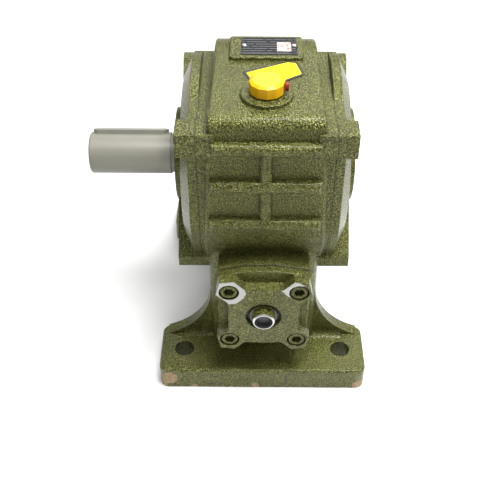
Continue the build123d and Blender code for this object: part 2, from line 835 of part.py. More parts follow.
def make_wheel_rim():
    """Bronze rim with a throat that follows the worm, cut with 34 teeth."""
    throat_r = CENTRE_DISTANCE - WHEEL_THROAT_R
    edge = sqrt(throat_r**2 - (CENTRE_DISTANCE - WHEEL_OUTER_R) ** 2)
    with BuildPart() as rim:
        with BuildSketch(O_TURN):
            with BuildLine():
                Polyline(
                    (-edge, WHEEL_OUTER_R),
                    (-RIM_HALF + 2, WHEEL_OUTER_R),
                    (-RIM_HALF, WHEEL_OUTER_R - 3),
                    (-RIM_HALF, RIM_SEAT_R + FIT / 2),
                    (RIM_HALF, RIM_SEAT_R + FIT / 2),
                    (RIM_HALF, WHEEL_OUTER_R - 3),
                    (RIM_HALF - 2, WHEEL_OUTER_R),
                    (edge, WHEEL_OUTER_R),
                )
                ThreePointArc((edge, WHEEL_OUTER_R), (0, WHEEL_THROAT_R), (-edge, WHEEL_OUTER_R))
            make_face()
        revolve(axis=O_AXIS)
        space = tooth_space()
        for index in range(WHEEL_TEETH):
            add(space.rotate(O_AXIS, 360 * index / WHEEL_TEETH), mode=Mode.SUBTRACT)
        add(rim_pins(3.5), mode=Mode.SUBTRACT)
    return rim.part


def make_wheel_hub():
    """Iron centre that carries the bronze rim, with a web, six lightening holes and a keyway."""
    with BuildPart() as hub:
        add(
            turned(
                O_TURN,
                (-RIM_HALF, RIM_SEAT_R),
                (-RIM_HALF, 58),
                (-8, 54),
                (-8, 46),
                (-WHEEL_SEAT_HALF, 42),
                (-WHEEL_SEAT_HALF, WHEEL_SEAT_R + FIT),
                (WHEEL_SEAT_HALF, WHEEL_SEAT_R + FIT),
                (WHEEL_SEAT_HALF, 42),
                (8, 46),
                (8, 54),
                (RIM_HALF, 58),
                (RIM_HALF, RIM_SEAT_R),
            )
        )
        add(bolt_ring(side_plane(-10), 50, 6, 3.2, 20), mode=Mode.SUBTRACT)
        keyway = key_block(O_TURN, -40, 40, 16.1, WHEEL_SEAT_R - 7, WHEEL_SEAT_R + 4.6, 0)
        add(keyway, mode=Mode.SUBTRACT)
        add(rim_pins(3.5), mode=Mode.SUBTRACT)
    return hub.part


WORM_ROOT_R = WORM_PITCH_R - 1.2 * MODULE
WORM_TIP_R = WORM_PITCH_R + MODULE
WORM_HALF = 38.0


def make_worm_thread():
    """Single-start right-hand thread, a swept trapezoid, standing on the worm's core."""
    lead = AXIAL_PITCH
    turns_length = 2 * WORM_HALF
    start_y = OUT_Y - WORM_HALF
    half_pitch_width = AXIAL_PITCH / 4 - BACKLASH / 4
    depth = WORM_TIP_R - WORM_ROOT_R
    low = half_pitch_width + (WORM_PITCH_R - WORM_ROOT_R) * tan(PRESSURE_ANGLE)
    high = half_pitch_width - (WORM_TIP_R - WORM_PITCH_R) * tan(PRESSURE_ANGLE)
    bite = 0.6
    with BuildPart() as thread:
        with BuildLine() as path:
            Helix(lead, turns_length, WORM_ROOT_R, center=(0, start_y, WORM_Z), direction=(0, 1, 0))
        start = path.line @ 0
        out = (start - Vector(0, start_y, WORM_Z)).normalized()
        section = Plane(origin=start, x_dir=out, z_dir=path.line % 0)
        with BuildSketch(section):
            with BuildLine():
                Polyline((-bite, -low), (depth, -high), (depth, high), (-bite, low), close=True)
            make_face()
        sweep(path=path.line, is_frenet=True)
    start_angle = degrees(atan2(out.X, out.Z))
    turned_by = 360 * WORM_HALF / AXIAL_PITCH
    return thread.part.rotate(W_AXIS, -start_angle - turned_by)


def make_worm_shaft(thread):
    """Worm, bearing seats, closed stub end in front and keyed input end behind."""
    stub_end = CAP_FACE + 8
    end = INPUT_END - OUT_Y
    with BuildPart() as worm:
        add(
            stepped(
                W_TURN,
                (-stub_end, -CAP_FACE + 2, 12),
                (-CAP_FACE + 2, -98, WORM_SEAT_R),
                (-98, -60, 19),
                (-60, 60, WORM_ROOT_R),
                (60, 98, 19),
                (98, end, WORM_SEAT_R),
            )
        )
        add(thread)
        add(input_key_block(INPUT_R + 5), mode=Mode.SUBTRACT)
        add(ring(W_TURN, -stub_end, -stub_end + 6, 0, 9.5), mode=Mode.SUBTRACT)
        add(ring(W_TURN, end - 24, end, 0, 4.25), mode=Mode.SUBTRACT)
    return worm.part


# ---------------------------------------------------------------- trim
BREATHER_SEAT = CASE_CROWN + 5.5
BREATHER_HEIGHT = 12.0
STEM_LENGTH = 16.0


def make_breather():
    """Twelve-sided plastic cap on a threaded stem, screwed into the top of the case."""
    with BuildPart() as plug:
        with BuildSketch(Plane(origin=(0, BREATHER_Y, BREATHER_SEAT))):
            RegularPolygon(PLUG_CAP_R, 12, major_radius=True)
        extrude(amount=BREATHER_HEIGHT)
        fillet(plug.edges().filter_by(Axis.Z), 3)
        chamfer(plug.faces().sort_by(Axis.Z)[-1].edges(), 2, 3)
        with BuildSketch(Plane(origin=(0, BREATHER_Y, BREATHER_SEAT - STEM_LENGTH))):
            Circle(PLUG_R - 0.1)
        extrude(amount=STEM_LENGTH)
    return plug.part


def make_vent_pin():
    """Red push-out pin in the side of the breather cap."""
    seat = Plane(
        origin=(PLUG_CAP_R + 0.1, BREATHER_Y - 3, BREATHER_SEAT + 6), x_dir=(0, 1, 0), z_dir=(1, 0, 0)
    )
    with BuildPart() as pin:
        with BuildSketch(seat):
            Ellipse(3.6, 4.6)
        extrude(amount=3.4)
        fillet(pin.faces().sort_by(Axis.X)[-1].edges(), 1.2)
    return pin.part


def washer(plane, outer_r):
    """Flat sealing washer for a threaded plug."""
    with BuildPart() as piece:
        with BuildSketch(plane):
            Circle(outer_r)
            Circle(PLUG_R + 0.2, mode=Mode.SUBTRACT)
        extrude(amount=1.5)
    return piece.part


PLATE_AT = (3, (PAD_Y[0] + PAD_Y[1]) / 2, CASE_CROWN + PAD_HEIGHT)
PLATE_THICKNESS = 0.8
RIVET_SPACING = 50.0


def make_nameplate():
    with BuildPart() as plate:
        with BuildSketch(Plane(origin=PLATE_AT)):
            RectangleRounded(56, 34, 1.5)
            with GridLocations(RIVET_SPACING, 0, 2, 1):
                Circle(1.6, mode=Mode.SUBTRACT)
        extrude(amount=PLATE_THICKNESS)
    return plate.part


def make_rivets():
    """Two round-headed rivets that hold the nameplate."""
    top = (PLATE_AT[0], PLATE_AT[1], PLATE_AT[2] + PLATE_THICKNESS)
    with BuildPart() as rivets:
        with BuildSketch(Plane(origin=PLATE_AT)):
            with GridLocations(RIVET_SPACING, 0, 2, 1):
                Circle(1.5)
        extrude(amount=PLATE_THICKNESS)
        with BuildSketch(Plane(origin=top)):
            with GridLocations(RIVET_SPACING, 0, 2, 1):
                Circle(2.6)
        extrude(amount=1.3, taper=30)
    return rivets.part


def make_card():
    """Sticker behind the breather, cut round its boss."""
    corners = ((-23, -47), (21, -26), (31, -28), (37, -51), (18, -64), (-15, -66))
    with BuildPart() as card:
        with BuildSketch(Plane(origin=(0, 0, CASE_CROWN))):
            with BuildLine():
                Polyline(*corners, close=True)
            make_face()
            with Locations((0, BREATHER_Y)):
                Circle(BREATHER_BOSS_R + 0.5, mode=Mode.SUBTRACT)
        extrude(amount=0.8)
    return card.part


def make_drain_plug():
    """Hexagon plug low on the left side of the worm housing."""
    head = Plane(origin=(-TRUNK_HALF - 5.5, DRAIN_Y, DRAIN_Z), x_dir=(0, 1, 0), z_dir=(1, 0, 0))
    with BuildPart() as plug:
        with BuildSketch(head):
            RegularPolygon(11, 6, major_radius=False)
        extrude(amount=-9)
        with BuildSketch(head):
            Circle(PLUG_R - 0.1)
        extrude(amount=16)
    return plug.part, head


def make_glass_ring():
    """Flanged ring of the oil sight glass on the right side of the worm housing."""
    bore_r = 11.5
    at = (GLASS_Y - OUT_Y, GLASS_Z - OUT_Z)
    with BuildPart() as glass_ring:
        for x, radius, depth in ((TRUNK_HALF + 4, 19, 5), (TRUNK_HALF - 8, 13.9, 12)):
            with BuildSketch(side_plane(x)):
                with Locations(at):
                    Circle(radius)
                    Circle(bore_r, mode=Mode.SUBTRACT)
            extrude(amount=depth)
    return glass_ring.part


def blind_cap():
    """Pressed-in disc that closes the bearing bore on the side without a shaft."""
    outer_r = OUTER_RACE_R - 4.1
    return turned(O_TURN, (85, 0), (85, outer_r), (91, outer_r), (92.5, outer_r - 2.9), (92.5, 0))


def output_seal():
    """Lip seal around the output shaft, a cup open to the inside."""
    outer_r, shaft_r, web_r = 33.95, OUTPUT_SEAT_R + 0.05, 31
    return turned(
        O_TURN,
        (-92, shaft_r),
        (-92, outer_r),
        (-85, outer_r),
        (-85, web_r),
        (-90, web_r),
        (-90, shaft_r),
    )


def worm_seal(side, hole_r):
    """Lip seal in a worm cap; side is -1 in front, 1 behind."""
    near, far, lip = (side * (CAP_FACE - back) for back in (11, 5, 6.5))
    outer_r, shaft_r, web_r = hole_r - 0.05, WORM_SEAT_R + 0.05, hole_r - 2.5
    return turned(
        W_TURN,
        (near, outer_r),
        (far, outer_r),
        (far, shaft_r),
        (lip, shaft_r),
        (lip, web_r),
        (near, web_r),
    )


# ---------------------------------------------------------------- write every piece
save(make_housing(), "housing")

right_pieces = {
    "side_cover": make_cover(OUTER_RACE_R - 4),
    "cover_bolts": cover_screws(),
    "cover_gasket": cover_gasket(),
}
for name, part in right_pieces.items():
    save(part, f"right_{name}")
save(make_cover(34).mirror(Plane.YZ), "left_side_cover")
for name in ("cover_bolts", "cover_gasket"):
    save(right_pieces[name].mirror(Plane.YZ), f"left_{name}")
save(blind_cap(), "blind_end_cap")
save(output_seal(), "output_oil_seal")

for end, side, plane_at, hole_r in (("front", -1, front_plane, CAP_HOLE_R), ("rear", 1, rear_plane, 24)):
    save(make_cap(plane_at, hole_r, 28), f"{end}_worm_cap")
    save(cap_screws(plane_at), f"{end}_cap_screws")
    save(cap_gasket(plane_at), f"{end}_cap_gasket")
    save(worm_seal(side, hole_r), f"{end}_worm_seal")

output_bearing = (20, OUTPUT_SEAT_R, OUTER_RACE_R, 5.2, 16)
worm_bearing = (20, WORM_SEAT_R, WORM_BORE_R, 5.2, 12)
save_bearing("left_output_bearing", O_TURN, -82, *output_bearing, True)
save_bearing("right_output_bearing", O_TURN, 62, *output_bearing, False)
save_bearing("front_worm_bearing", W_TURN, -118, *worm_bearing, True)
save_bearing("rear_worm_bearing", W_TURN, 98, *worm_bearing, False)

save(make_output_shaft(), "output_shaft")
save(output_key_block(OUTPUT_R + 3.5), "output_key")
save(wheel_key_block(WHEEL_SEAT_R + 4), "wheel_key")
save(ring(O_TURN, -62, -38, OUTPUT_SEAT_R + FIT, 31), "left_spacer")
save(ring(O_TURN, WHEEL_SEAT_HALF, 62, OUTPUT_SEAT_R + FIT, 31), "right_spacer")
save(make_wheel_rim(), "worm_wheel_rim")
save(make_wheel_hub(), "wheel_hub")
save(rim_pins(3.45), "rim_pins")
save(make_worm_shaft(make_worm_thread()), "worm_shaft")
save(input_key_block(INPUT_R + 3), "input_key")

save(make_breather(), "breather_plug")
save(washer(Plane(origin=(0, BREATHER_Y, BREATHER_SEAT - 1.5)), 15), "breather_washer")
save(make_vent_pin(), "vent_pin")
save(make_nameplate(), "nameplate")
save(make_rivets(), "nameplate_rivets")
save(make_card(), "warning_card")

drain_plug, drain_head = make_drain_plug()
save(drain_plug, "drain_plug")
save(washer(drain_head, 13), "drain_washer")
save(make_glass_ring(), "oil_glass_ring")
save(sideways(GLASS_Y, GLASS_Z, TRUNK_HALF - 4, TRUNK_HALF + 5, 11.4), "oil_glass_lens")
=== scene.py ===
import json
import math

import bmesh
import bpy
from mathutils import Matrix, Vector


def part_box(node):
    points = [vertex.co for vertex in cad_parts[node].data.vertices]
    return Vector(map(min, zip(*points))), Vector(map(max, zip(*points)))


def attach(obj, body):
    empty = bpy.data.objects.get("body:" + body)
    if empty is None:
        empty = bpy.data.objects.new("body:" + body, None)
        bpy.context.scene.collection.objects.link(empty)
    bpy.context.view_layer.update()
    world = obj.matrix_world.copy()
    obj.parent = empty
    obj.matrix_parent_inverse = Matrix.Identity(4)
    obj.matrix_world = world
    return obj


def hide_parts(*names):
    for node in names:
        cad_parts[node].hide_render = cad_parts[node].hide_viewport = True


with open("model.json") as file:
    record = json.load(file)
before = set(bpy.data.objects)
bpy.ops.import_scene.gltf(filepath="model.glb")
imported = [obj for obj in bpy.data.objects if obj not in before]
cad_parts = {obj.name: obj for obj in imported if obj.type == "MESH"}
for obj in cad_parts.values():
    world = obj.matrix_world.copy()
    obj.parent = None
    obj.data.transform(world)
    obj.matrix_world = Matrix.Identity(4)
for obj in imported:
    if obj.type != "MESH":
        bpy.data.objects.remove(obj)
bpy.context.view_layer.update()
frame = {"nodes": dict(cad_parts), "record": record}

NODES = frame["nodes"]


# ---------------------------------------------------------------- node helpers
def as_colour(value):
    """Red, green and blue made into a socket's four values; a socket stays as it is."""
    return (*value, 1) if isinstance(value, tuple) else value


class Maker:
    """Small wrapper for building one node material. Its lengths are in metres."""

    def __init__(self, name):
        self.material = bpy.data.materials.new(name)
        self.material.use_nodes = True
        self.tree = self.material.node_tree
        self.shader = self.tree.nodes["Principled BSDF"]
        self.coordinates = self.add("ShaderNodeTexCoord").outputs["Object"]

    def add(self, kind, **settings):
        node = self.tree.nodes.new(kind)
        for key, value in settings.items():
            setattr(node, key, value)
        return node

    def link(self, source, target):
        self.tree.links.new(source, target)

    def feed(self, socket, value):
        if isinstance(value, bpy.types.NodeSocket):
            self.link(value, socket)
        else:
            socket.default_value = value

    def noise(self, scale, detail=2.0, rough=0.5, distortion=0.0, vector=None):
        node = self.add("ShaderNodeTexNoise")
        self.feed(node.inputs["Vector"], vector or self.coordinates)
        node.inputs["Scale"].default_value = scale
        node.inputs["Detail"].default_value = detail
        node.inputs["Roughness"].default_value = rough
        node.inputs["Distortion"].default_value = distortion
        return node.outputs["Fac"]

    def cells(self, scale, smooth=0.6):
        node = self.add("ShaderNodeTexVoronoi", feature="SMOOTH_F1")
        self.link(self.coordinates, node.inputs["Vector"])
        node.inputs["Scale"].default_value = scale
        node.inputs["Smoothness"].default_value = smooth
        return node.outputs["Distance"]

    def math(self, operation, first, second=0.0, clamp=False):
        node = self.add("ShaderNodeMath", operation=operation, use_clamp=clamp)
        self.feed(node.inputs[0], first)
        self.feed(node.inputs[1], second)
        return node.outputs[0]

    def ramp(self, value, low, high, invert=False):
        """Value stretched so that low is 0 and high is 1, held between them."""
        node = self.add("ShaderNodeMapRange", interpolation_type="SMOOTHSTEP")
        self.feed(node.inputs["Value"], value)
        node.inputs["From Min"].default_value = low
        node.inputs["From Max"].default_value = high
        node.inputs["To Min"].default_value = 1.0 if invert else 0.0
        node.inputs["To Max"].default_value = 0.0 if invert else 1.0
        return node.outputs["Result"]

    def mix(self, factor, first, second):
        node = self.add("ShaderNodeMix", data_type="RGBA")
        self.feed(node.inputs["Factor"], factor)
        self.feed(node.inputs["A"], as_colour(first))
        self.feed(node.inputs["B"], as_colour(second))
        return next(o for o in node.outputs if o.type == "RGBA")

    def blend(self, factor, first, second):
        node = self.add("ShaderNodeMix", data_type="FLOAT")
        self.feed(node.inputs["Factor"], factor)
        self.feed(node.inputs["A"], first)
        self.feed(node.inputs["B"], second)
        return node.outputs["Result"]

    def spot(self, centre, radius, ragged=0.35, scale=90.0):
        """Mask that is 1 within a ragged blot around a point on the object."""
        node = self.add("ShaderNodeVectorMath", operation="DISTANCE")
        self.link(self.coordinates, node.inputs[0])
        node.inputs[1].default_value = centre
        wobble = self.math("MULTIPLY", self.noise(scale, 4, 0.65), 2 * ragged * radius)
        away = self.math("ADD", node.outputs["Value"], wobble)
        edge = radius * (1 + ragged)
        return self.ramp(away, edge, edge - BLOT_SOFTNESS)

    def shifted(self, offset):
        """Object coordinates moved aside, so that a second noise doesn't follow the first."""
        node = self.add("ShaderNodeVectorMath", operation="ADD")
        self.link(self.coordinates, node.inputs[0])
        node.inputs[1].default_value = offset
        return node.outputs["Vector"]

    def facing_front(self):
        """Mask that is 1 on faces square to -Y."""
        geometry = self.add("ShaderNodeNewGeometry")
        dot = self.add("ShaderNodeVectorMath", operation="DOT_PRODUCT")
        self.link(geometry.outputs["True Normal"], dot.inputs[0])
        dot.inputs[1].default_value = (0, -1, 0)
        return self.ramp(dot.outputs["Value"], 0.6, 0.8)

    def along(self, direction):
        """Position on the object measured along a direction."""
        dot = self.add("ShaderNodeVectorMath", operation="DOT_PRODUCT")
        self.link(self.coordinates, dot.inputs[0])
        dot.inputs[1].default_value = direction
        return dot.outputs["Value"]

    def lines(self, value, period, width):
        """Mask of even ruled lines, 1 on each line."""
        step = self.math("FRACT", self.math("DIVIDE", value, period))
        return self.math("LESS_THAN", step, width / period)

    def inside(self, value, low, high):
        above = self.math("GREATER_THAN", value, low)
        return self.math("MULTIPLY", above, self.math("LESS_THAN", value, high))

    def bump(self, height, strength, distance, soften=0.0):
        node = self.add("ShaderNodeBump")
        self.feed(node.inputs["Height"], height)
        node.inputs["Strength"].default_value = strength
        node.inputs["Distance"].default_value = distance
        if soften:
            bevel = self.add("ShaderNodeBevel", samples=6)
            bevel.inputs["Radius"].default_value = soften
            self.link(bevel.outputs["Normal"], node.inputs["Normal"])
        self.link(node.outputs["Normal"], self.shader.inputs["Normal"])

    def finish(self, colour, roughness, metallic=0.0, coat=0.0, coat_roughness=0.05):
        self.feed(self.shader.inputs["Base Color"], as_colour(colour))
        self.feed(self.shader.inputs["Roughness"], roughness)
        self.feed(self.shader.inputs["Metallic"], metallic)
        self.shader.inputs["Coat Weight"].default_value = coat
        self.shader.inputs["Coat Roughness"].default_value = coat_roughness
        return self.material


# ---------------------------------------------------------------- materials
# Pattern scales are in cells per metre.
GRAIN_SCALE = 620
FINE_SCALE = 900
GLINT_SCALE = 800
SHADE_SCALE = 700
DRIFT_SCALE = 14
STAIN_SCALE = 45
ENAMEL_BUMP = 0.0009
ENAMEL_BEVEL = 0.0018
BLOT_SOFTNESS = 0.0008

ENAMEL_DARK = (0.016, 0.018, 0.002)
ENAMEL_MID = (0.064, 0.069, 0.011)
ENAMEL_PALE = (0.240, 0.245, 0.055)
# Pale colour of the painted glints on the enamel grains.
ENAMEL_GLINT = (0.480, 0.470, 0.180)
TAN = (0.42, 0.33, 0.19)
RUST = (0.33, 0.24, 0.13)
STAIN = (0.05, 0.045, 0.03)
# Pale grey of the painted reflection on the front cap's upper lugs.
REFLECTION_GREY = (0.48, 0.48, 0.45)


def any_of(maker, masks):
    """Mask that is 1 where any of the masks is."""
    total = masks[0]
    for mask in masks[1:]:
        total = maker.math("MAXIMUM", total, mask)
    return total


def enamel_pattern(m):
    """Height of the hammertone skin, 0 in its pits and about 1 on its grains."""
    grains = m.cells(GRAIN_SCALE, 0.35)
    fine = m.noise(FINE_SCALE, 3, 0.7)
    return m.math("ADD", m.math("MULTIPLY", grains, 0.9), m.math("MULTIPLY", fine, 0.6))


def hammertone(name, chips=(), painted_reflections=(), grime=0.5):
    """Olive hammertone enamel over cast iron with painted glints, with chips, and with painted
    reflection patches at given places.
    """
    m = Maker(name)
    pattern = enamel_pattern(m)
    tone = m.ramp(pattern, 0.46, 0.74)
    colour = m.mix(tone, ENAMEL_PALE, ENAMEL_MID)
    pits = m.ramp(pattern, 0.72, 0.98)
    colour = m.mix(m.math("MULTIPLY", pits, 0.75), colour, ENAMEL_DARK)
    # Painted glints: small bright specks mixed into the enamel colour, standing in for light
    # glinting on the hammertone grains.
    painted_glints = m.ramp(m.noise(GLINT_SCALE, 2, 0.5), 0.54, 0.66)
    colour = m.mix(m.math("MULTIPLY", painted_glints, 0.55), colour, ENAMEL_GLINT)
    elsewhere = m.shifted((3.1, 1.7, 5.3))
    shade = m.ramp(m.noise(SHADE_SCALE, 2, 0.5, vector=elsewhere), 0.54, 0.66)
    colour = m.mix(m.math("MULTIPLY", shade, 0.55), colour, ENAMEL_DARK)
    drift = m.ramp(m.noise(DRIFT_SCALE, 3, 0.55), 0.35, 0.70)
    colour = m.mix(m.math("MULTIPLY", drift, 0.2), colour, ENAMEL_DARK)
    dirt = m.ramp(m.noise(STAIN_SCALE, 6, 0.7), 0.58, 0.74)
    colour = m.mix(m.math("MULTIPLY", dirt, 0.2 * grime), colour, STAIN)
    roughness = m.blend(tone, 0.20, 0.30)
    lift = m.math("SUBTRACT", 1.0, pattern)
    # Painted reflection: pale grey on front-facing faces at the given places, standing in for the
    # bright surroundings reflected on those faces.
    if painted_reflections:
        patches = any_of(m, [m.spot(*place) for place in painted_reflections])
        mask = m.math("MULTIPLY", patches, m.facing_front())
        colour = m.mix(mask, colour, REFLECTION_GREY)
        roughness = m.blend(mask, roughness, 0.5)
        lift = m.math("MULTIPLY", lift, m.math("SUBTRACT", 1.0, m.math("MULTIPLY", mask, 0.7)))
    if chips:
        mask = any_of(m, [m.spot(*place) for place in chips])
        rust = m.mix(m.ramp(m.noise(260, 4), 0.4, 0.6), TAN, RUST)
        colour = m.mix(mask, colour, rust)
        roughness = m.blend(mask, roughness, 0.8)
        lift = m.math("SUBTRACT", lift, m.math("MULTIPLY", mask, 1.2))
    m.bump(lift, 1.0, ENAMEL_BUMP, soften=ENAMEL_BEVEL)
    m.shader.inputs["Specular IOR Level"].default_value = 0.3
    return m.finish(colour, roughness, 0.45, coat=0.12, coat_roughness=0.15)


def coated_steel():
    """Warm light grey protective coat on the output shaft and key, slightly soiled."""
    m = Maker("shaft_grey_coat")
    clean, dull = (0.22, 0.216, 0.176), (0.185, 0.18, 0.146)
    base = m.mix(m.ramp(m.noise(22, 4), 0.35, 0.7), clean, dull)
    smear = m.ramp(m.noise(60, 6, 0.7), 0.60, 0.75)
    base = m.mix(m.math("MULTIPLY", smear, 0.35), base, (0.18, 0.175, 0.15))
    specks = m.ramp(m.noise(330, 2, 0.5), 0.74, 0.78)
    base = m.mix(m.math("MULTIPLY", specks, 0.7), base, (0.10, 0.095, 0.08))
    m.bump(m.noise(500, 4), 0.15, 0.0004, soften=0.0008)
    return m.finish(base, m.blend(smear, 0.42, 0.55), 0.1, coat=0.15, coat_roughness=0.3)


def machined_steel(name, colour=(0.55, 0.55, 0.54), roughness=0.28):
    """Bare turned steel with fine streaks along X and a little oxide."""
    m = Maker(name)
    stretch = m.add("ShaderNodeMapping")
    m.link(m.coordinates, stretch.inputs["Vector"])
    stretch.inputs["Scale"].default_value = (40, 900, 900)
    lines = m.noise(1.0, 3, 0.6, vector=stretch.outputs["Vector"])
    oxide = m.ramp(m.noise(70, 5), 0.55, 0.75)
    tint = m.mix(m.math("MULTIPLY", oxide, 0.5), colour, tuple(0.45 * c for c in colour))
    m.bump(lines, 0.12, 0.0003, soften=0.0005)
    return m.finish(tint, m.blend(lines, roughness, roughness + 0.15), 1.0)


def plastic(name, colour, dark, roughness=0.35):
    """Moulded plastic with a slight depth to its colour."""
    m = Maker(name)
    tone = m.mix(m.ramp(m.noise(35, 3), 0.3, 0.8), colour, dark)
    m.bump(m.noise(700, 3), 0.10, 0.0003, soften=0.0006)
    m.shader.inputs["Subsurface Weight"].default_value = 0.05
    m.shader.inputs["Subsurface Radius"].default_value = (0.004, 0.002, 0.001)
    m.shader.inputs["Specular IOR Level"].default_value = 0.25
    return m.finish(tone, roughness, 0.0)


def plain_noise(name, colour, roughness, metallic=0.0, scale=300, depth=0.25):
    """Uneven one-colour surface for the plain pieces, such as gaskets, seals and rough iron."""
    m = Maker(name)
    dark = tuple(0.6 * c for c in colour)
    tone = m.mix(m.ramp(m.noise(scale / 4, 4), 0.3, 0.75), colour, dark)
    m.bump(m.noise(scale, 5, 0.6), depth, 0.0004, soften=0.0005)
    return m.finish(tone, roughness, metallic)


def lens_glass():
    """Clear window with the amber of the oil behind it."""
    m = Maker("sight_glass")
    m.shader.inputs["Transmission Weight"].default_value = 0.85
    m.shader.inputs["IOR"].default_value = 1.49
    tone = m.mix(m.ramp(m.noise(40, 2), 0.4, 0.7), (0.85, 0.72, 0.35), (0.75, 0.60, 0.25))
    return m.finish(tone, 0.06)


def worm_steel(axis_z, face_y, painted_r, bore_r):
    """Worm shaft: unpainted steel, with a painted collar and painted shade in the hollow at the stub
    end.
    """
    m = Maker("worm_shaft_steel")
    position = m.add("ShaderNodeSeparateXYZ")
    m.link(m.coordinates, position.inputs[0])
    height = m.math("SUBTRACT", position.outputs["Z"], axis_z)
    across_squared = m.math("POWER", position.outputs["X"], 2.0)
    radius = m.math("SQRT", m.math("ADD", across_squared, m.math("POWER", height, 2.0)))
    in_front = m.math("LESS_THAN", position.outputs["Y"], face_y)
    collar = m.math("MULTIPLY", in_front, m.math("GREATER_THAN", radius, painted_r))
    # Painted shade: the hollow in the stub end is coloured near black and unmetallic, standing in
    # for the shade inside it.
    recess_shade = m.math("MULTIPLY", in_front, m.math("LESS_THAN", radius, bore_r))
    paint_tone = m.mix(m.ramp(enamel_pattern(m), 0.25, 0.95), ENAMEL_PALE, ENAMEL_DARK)
    oxide = m.ramp(m.noise(70, 5), 0.55, 0.75)
    colour = m.mix(m.math("MULTIPLY", oxide, 0.4), (0.62, 0.61, 0.60), (0.30, 0.29, 0.28))
    colour = m.mix(collar, colour, paint_tone)
    colour = m.mix(recess_shade, colour, (0.07, 0.07, 0.075))
    paint_and_shade = m.math("MAXIMUM", collar, recess_shade)
    m.bump(m.noise(600, 3), 0.15, 0.0003, soften=0.0006)
    return m.finish(colour, m.blend(paint_and_shade, 0.3, 0.35), m.math("SUBTRACT", 1.0, paint_and_shade))


def ruled_print(name, ground, ink, across, period, width, panel=None):
    """Printed sheet with plain ruled lines and, if asked, a blank pale panel in an x and y range."""
    m = Maker(name)
    rows = m.lines(m.along(across), period, width)
    worn = m.ramp(m.noise(220, 4, 0.6), 0.35, 0.5)
    colour = m.mix(m.math("MULTIPLY", rows, worn), ground, ink)
    if panel:
        across_panel = m.inside(m.along((1, 0, 0)), *panel[0])
        blush = m.mix(m.ramp(m.noise(300, 3), 0.4, 0.65), (0.60, 0.56, 0.52), (0.45, 0.16, 0.13))
        along_panel = m.inside(m.along((0, 1, 0)), *panel[1])
        colour = m.mix(m.math("MULTIPLY", across_panel, along_panel), colour, blush)
    m.bump(m.noise(500, 2), 0.05, 0.0002)
    m.shader.inputs["Specular IOR Level"].default_value = 0.15
    return m.finish(colour, m.blend(m.noise(30, 3), 0.55, 0.7))


def bordered_sheet(node, name, border, edge_material, face_material):
    """Copy of a flat CAD node whose top carries a border of its own colour."""
    mesh = NODES[node].data.copy()
    mesh.materials.clear()
    mesh.materials.append(edge_material)
    mesh.materials.append(face_material)
    work = bmesh.new()
    work.from_mesh(mesh)
    bmesh.ops.dissolve_limit(
        work, angle_limit=math.radians(1), verts=work.verts, edges=work.edges
    )
    top_z = max(v.co.z for v in work.verts)
    work.normal_update()
    tops = [f for f in work.faces if f.normal.z > 0.9 and f.calc_center_median().z > top_z - 1e-5]
    bmesh.ops.inset_region(
        work, faces=tops, thickness=border, use_even_offset=True, use_boundary=True
    )
    for face in work.faces:
        face.material_index = 1 if face in tops else 0
    work.to_mesh(mesh)
    work.free()
    sheet = bpy.data.objects.new(name, mesh)
    bpy.context.scene.collection.objects.link(sheet)
    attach(sheet, "gearcase")
    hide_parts(node)
    return sheet


def paint(node, material):
    """Give a CAD node one material."""
    mesh = NODES[node].data
    mesh.materials.clear()
    mesh.materials.append(material)


# ---------------------------------------------------------------- places taken from the frame
CAP_SCREW_HEAD_R = 0.009
STUB_COLLAR_LENGTH = 0.011
STUB_COLLAR_R = 0.0116
STUB_RECESS_R = 0.0097

foot_front_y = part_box("housing")[0].y
cap_face_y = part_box("front_worm_cap")[0].y
screw_low, screw_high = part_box("front_cap_screws")
right_screw_x = screw_high.x - CAP_SCREW_HEAD_R
left_screw_x = screw_low.x + CAP_SCREW_HEAD_R
upper_screw_z = screw_high.z - CAP_SCREW_HEAD_R

housing_chips = [
    ((-0.106, foot_front_y, 0.016), 0.010),
    ((-0.112, foot_front_y + 0.006, 0.003), 0.007),
    ((0.113, foot_front_y, 0.004), 0.009),
    ((-0.008, foot_front_y, 0.004), 0.005),
    ((-0.078, foot_front_y, 0.002), 0.004),
]
# Painted reflection around the two upper cap screws, on the cap's upper lugs.
cap_painted_reflections = [
    ((left_screw_x, cap_face_y, upper_screw_z), 0.0175, 0.2, 160.0),
    ((right_screw_x - 0.006, cap_face_y, upper_screw_z + 0.005), 0.0120, 0.3, 160.0),
]
plate_low, plate_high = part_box("nameplate")
plate_panel = (
    (plate_high.x - 0.020, plate_high.x - 0.006),
    (plate_low.y + 0.006, plate_low.y + 0.024),
)
joints = {joint["name"]: joint for joint in frame["record"]["behaviour"]["joints"]}
worm_axis_z = joints["worm_spin"]["pos_m"][2]
stub_back_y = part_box("worm_shaft")[0].y + STUB_COLLAR_LENGTH

housing_paint = hammertone("hammertone_housing", chips=housing_chips)
cap_paint = hammertone("hammertone_cap", painted_reflections=cap_painted_reflections)
cover_paint = hammertone("hammertone_cover")
screw_paint = hammertone("painted_screw", grime=1.0)
steel = machined_steel("machined_steel")
bearing_steel = machined_steel("bearing_steel", (0.62, 0.62, 0.62), 0.18)
gasket_paper = plain_noise("gasket_paper", (0.03, 0.03, 0.025), 0.8)
seal_rubber = plain_noise("seal_rubber", (0.015, 0.015, 0.016), 0.55)
bronze = plain_noise("bronze", (0.55, 0.33, 0.12), 0.3, 1.0, 200, 0.1)
raw_iron = plain_noise("raw_iron", (0.16, 0.16, 0.165), 0.6, 0.6, 260, 0.5)
yellow = plastic("yellow_plastic", (0.74, 0.42, 0.003), (0.66, 0.35, 0.002))
red = plastic("red_plastic", (0.30, 0.018, 0.010), (0.20, 0.010, 0.008), 0.4)
fibre = plain_noise("washer_fibre", (0.20, 0.07, 0.03), 0.75)
plate_black = plain_noise("plate_black", (0.012, 0.012, 0.013), 0.5)

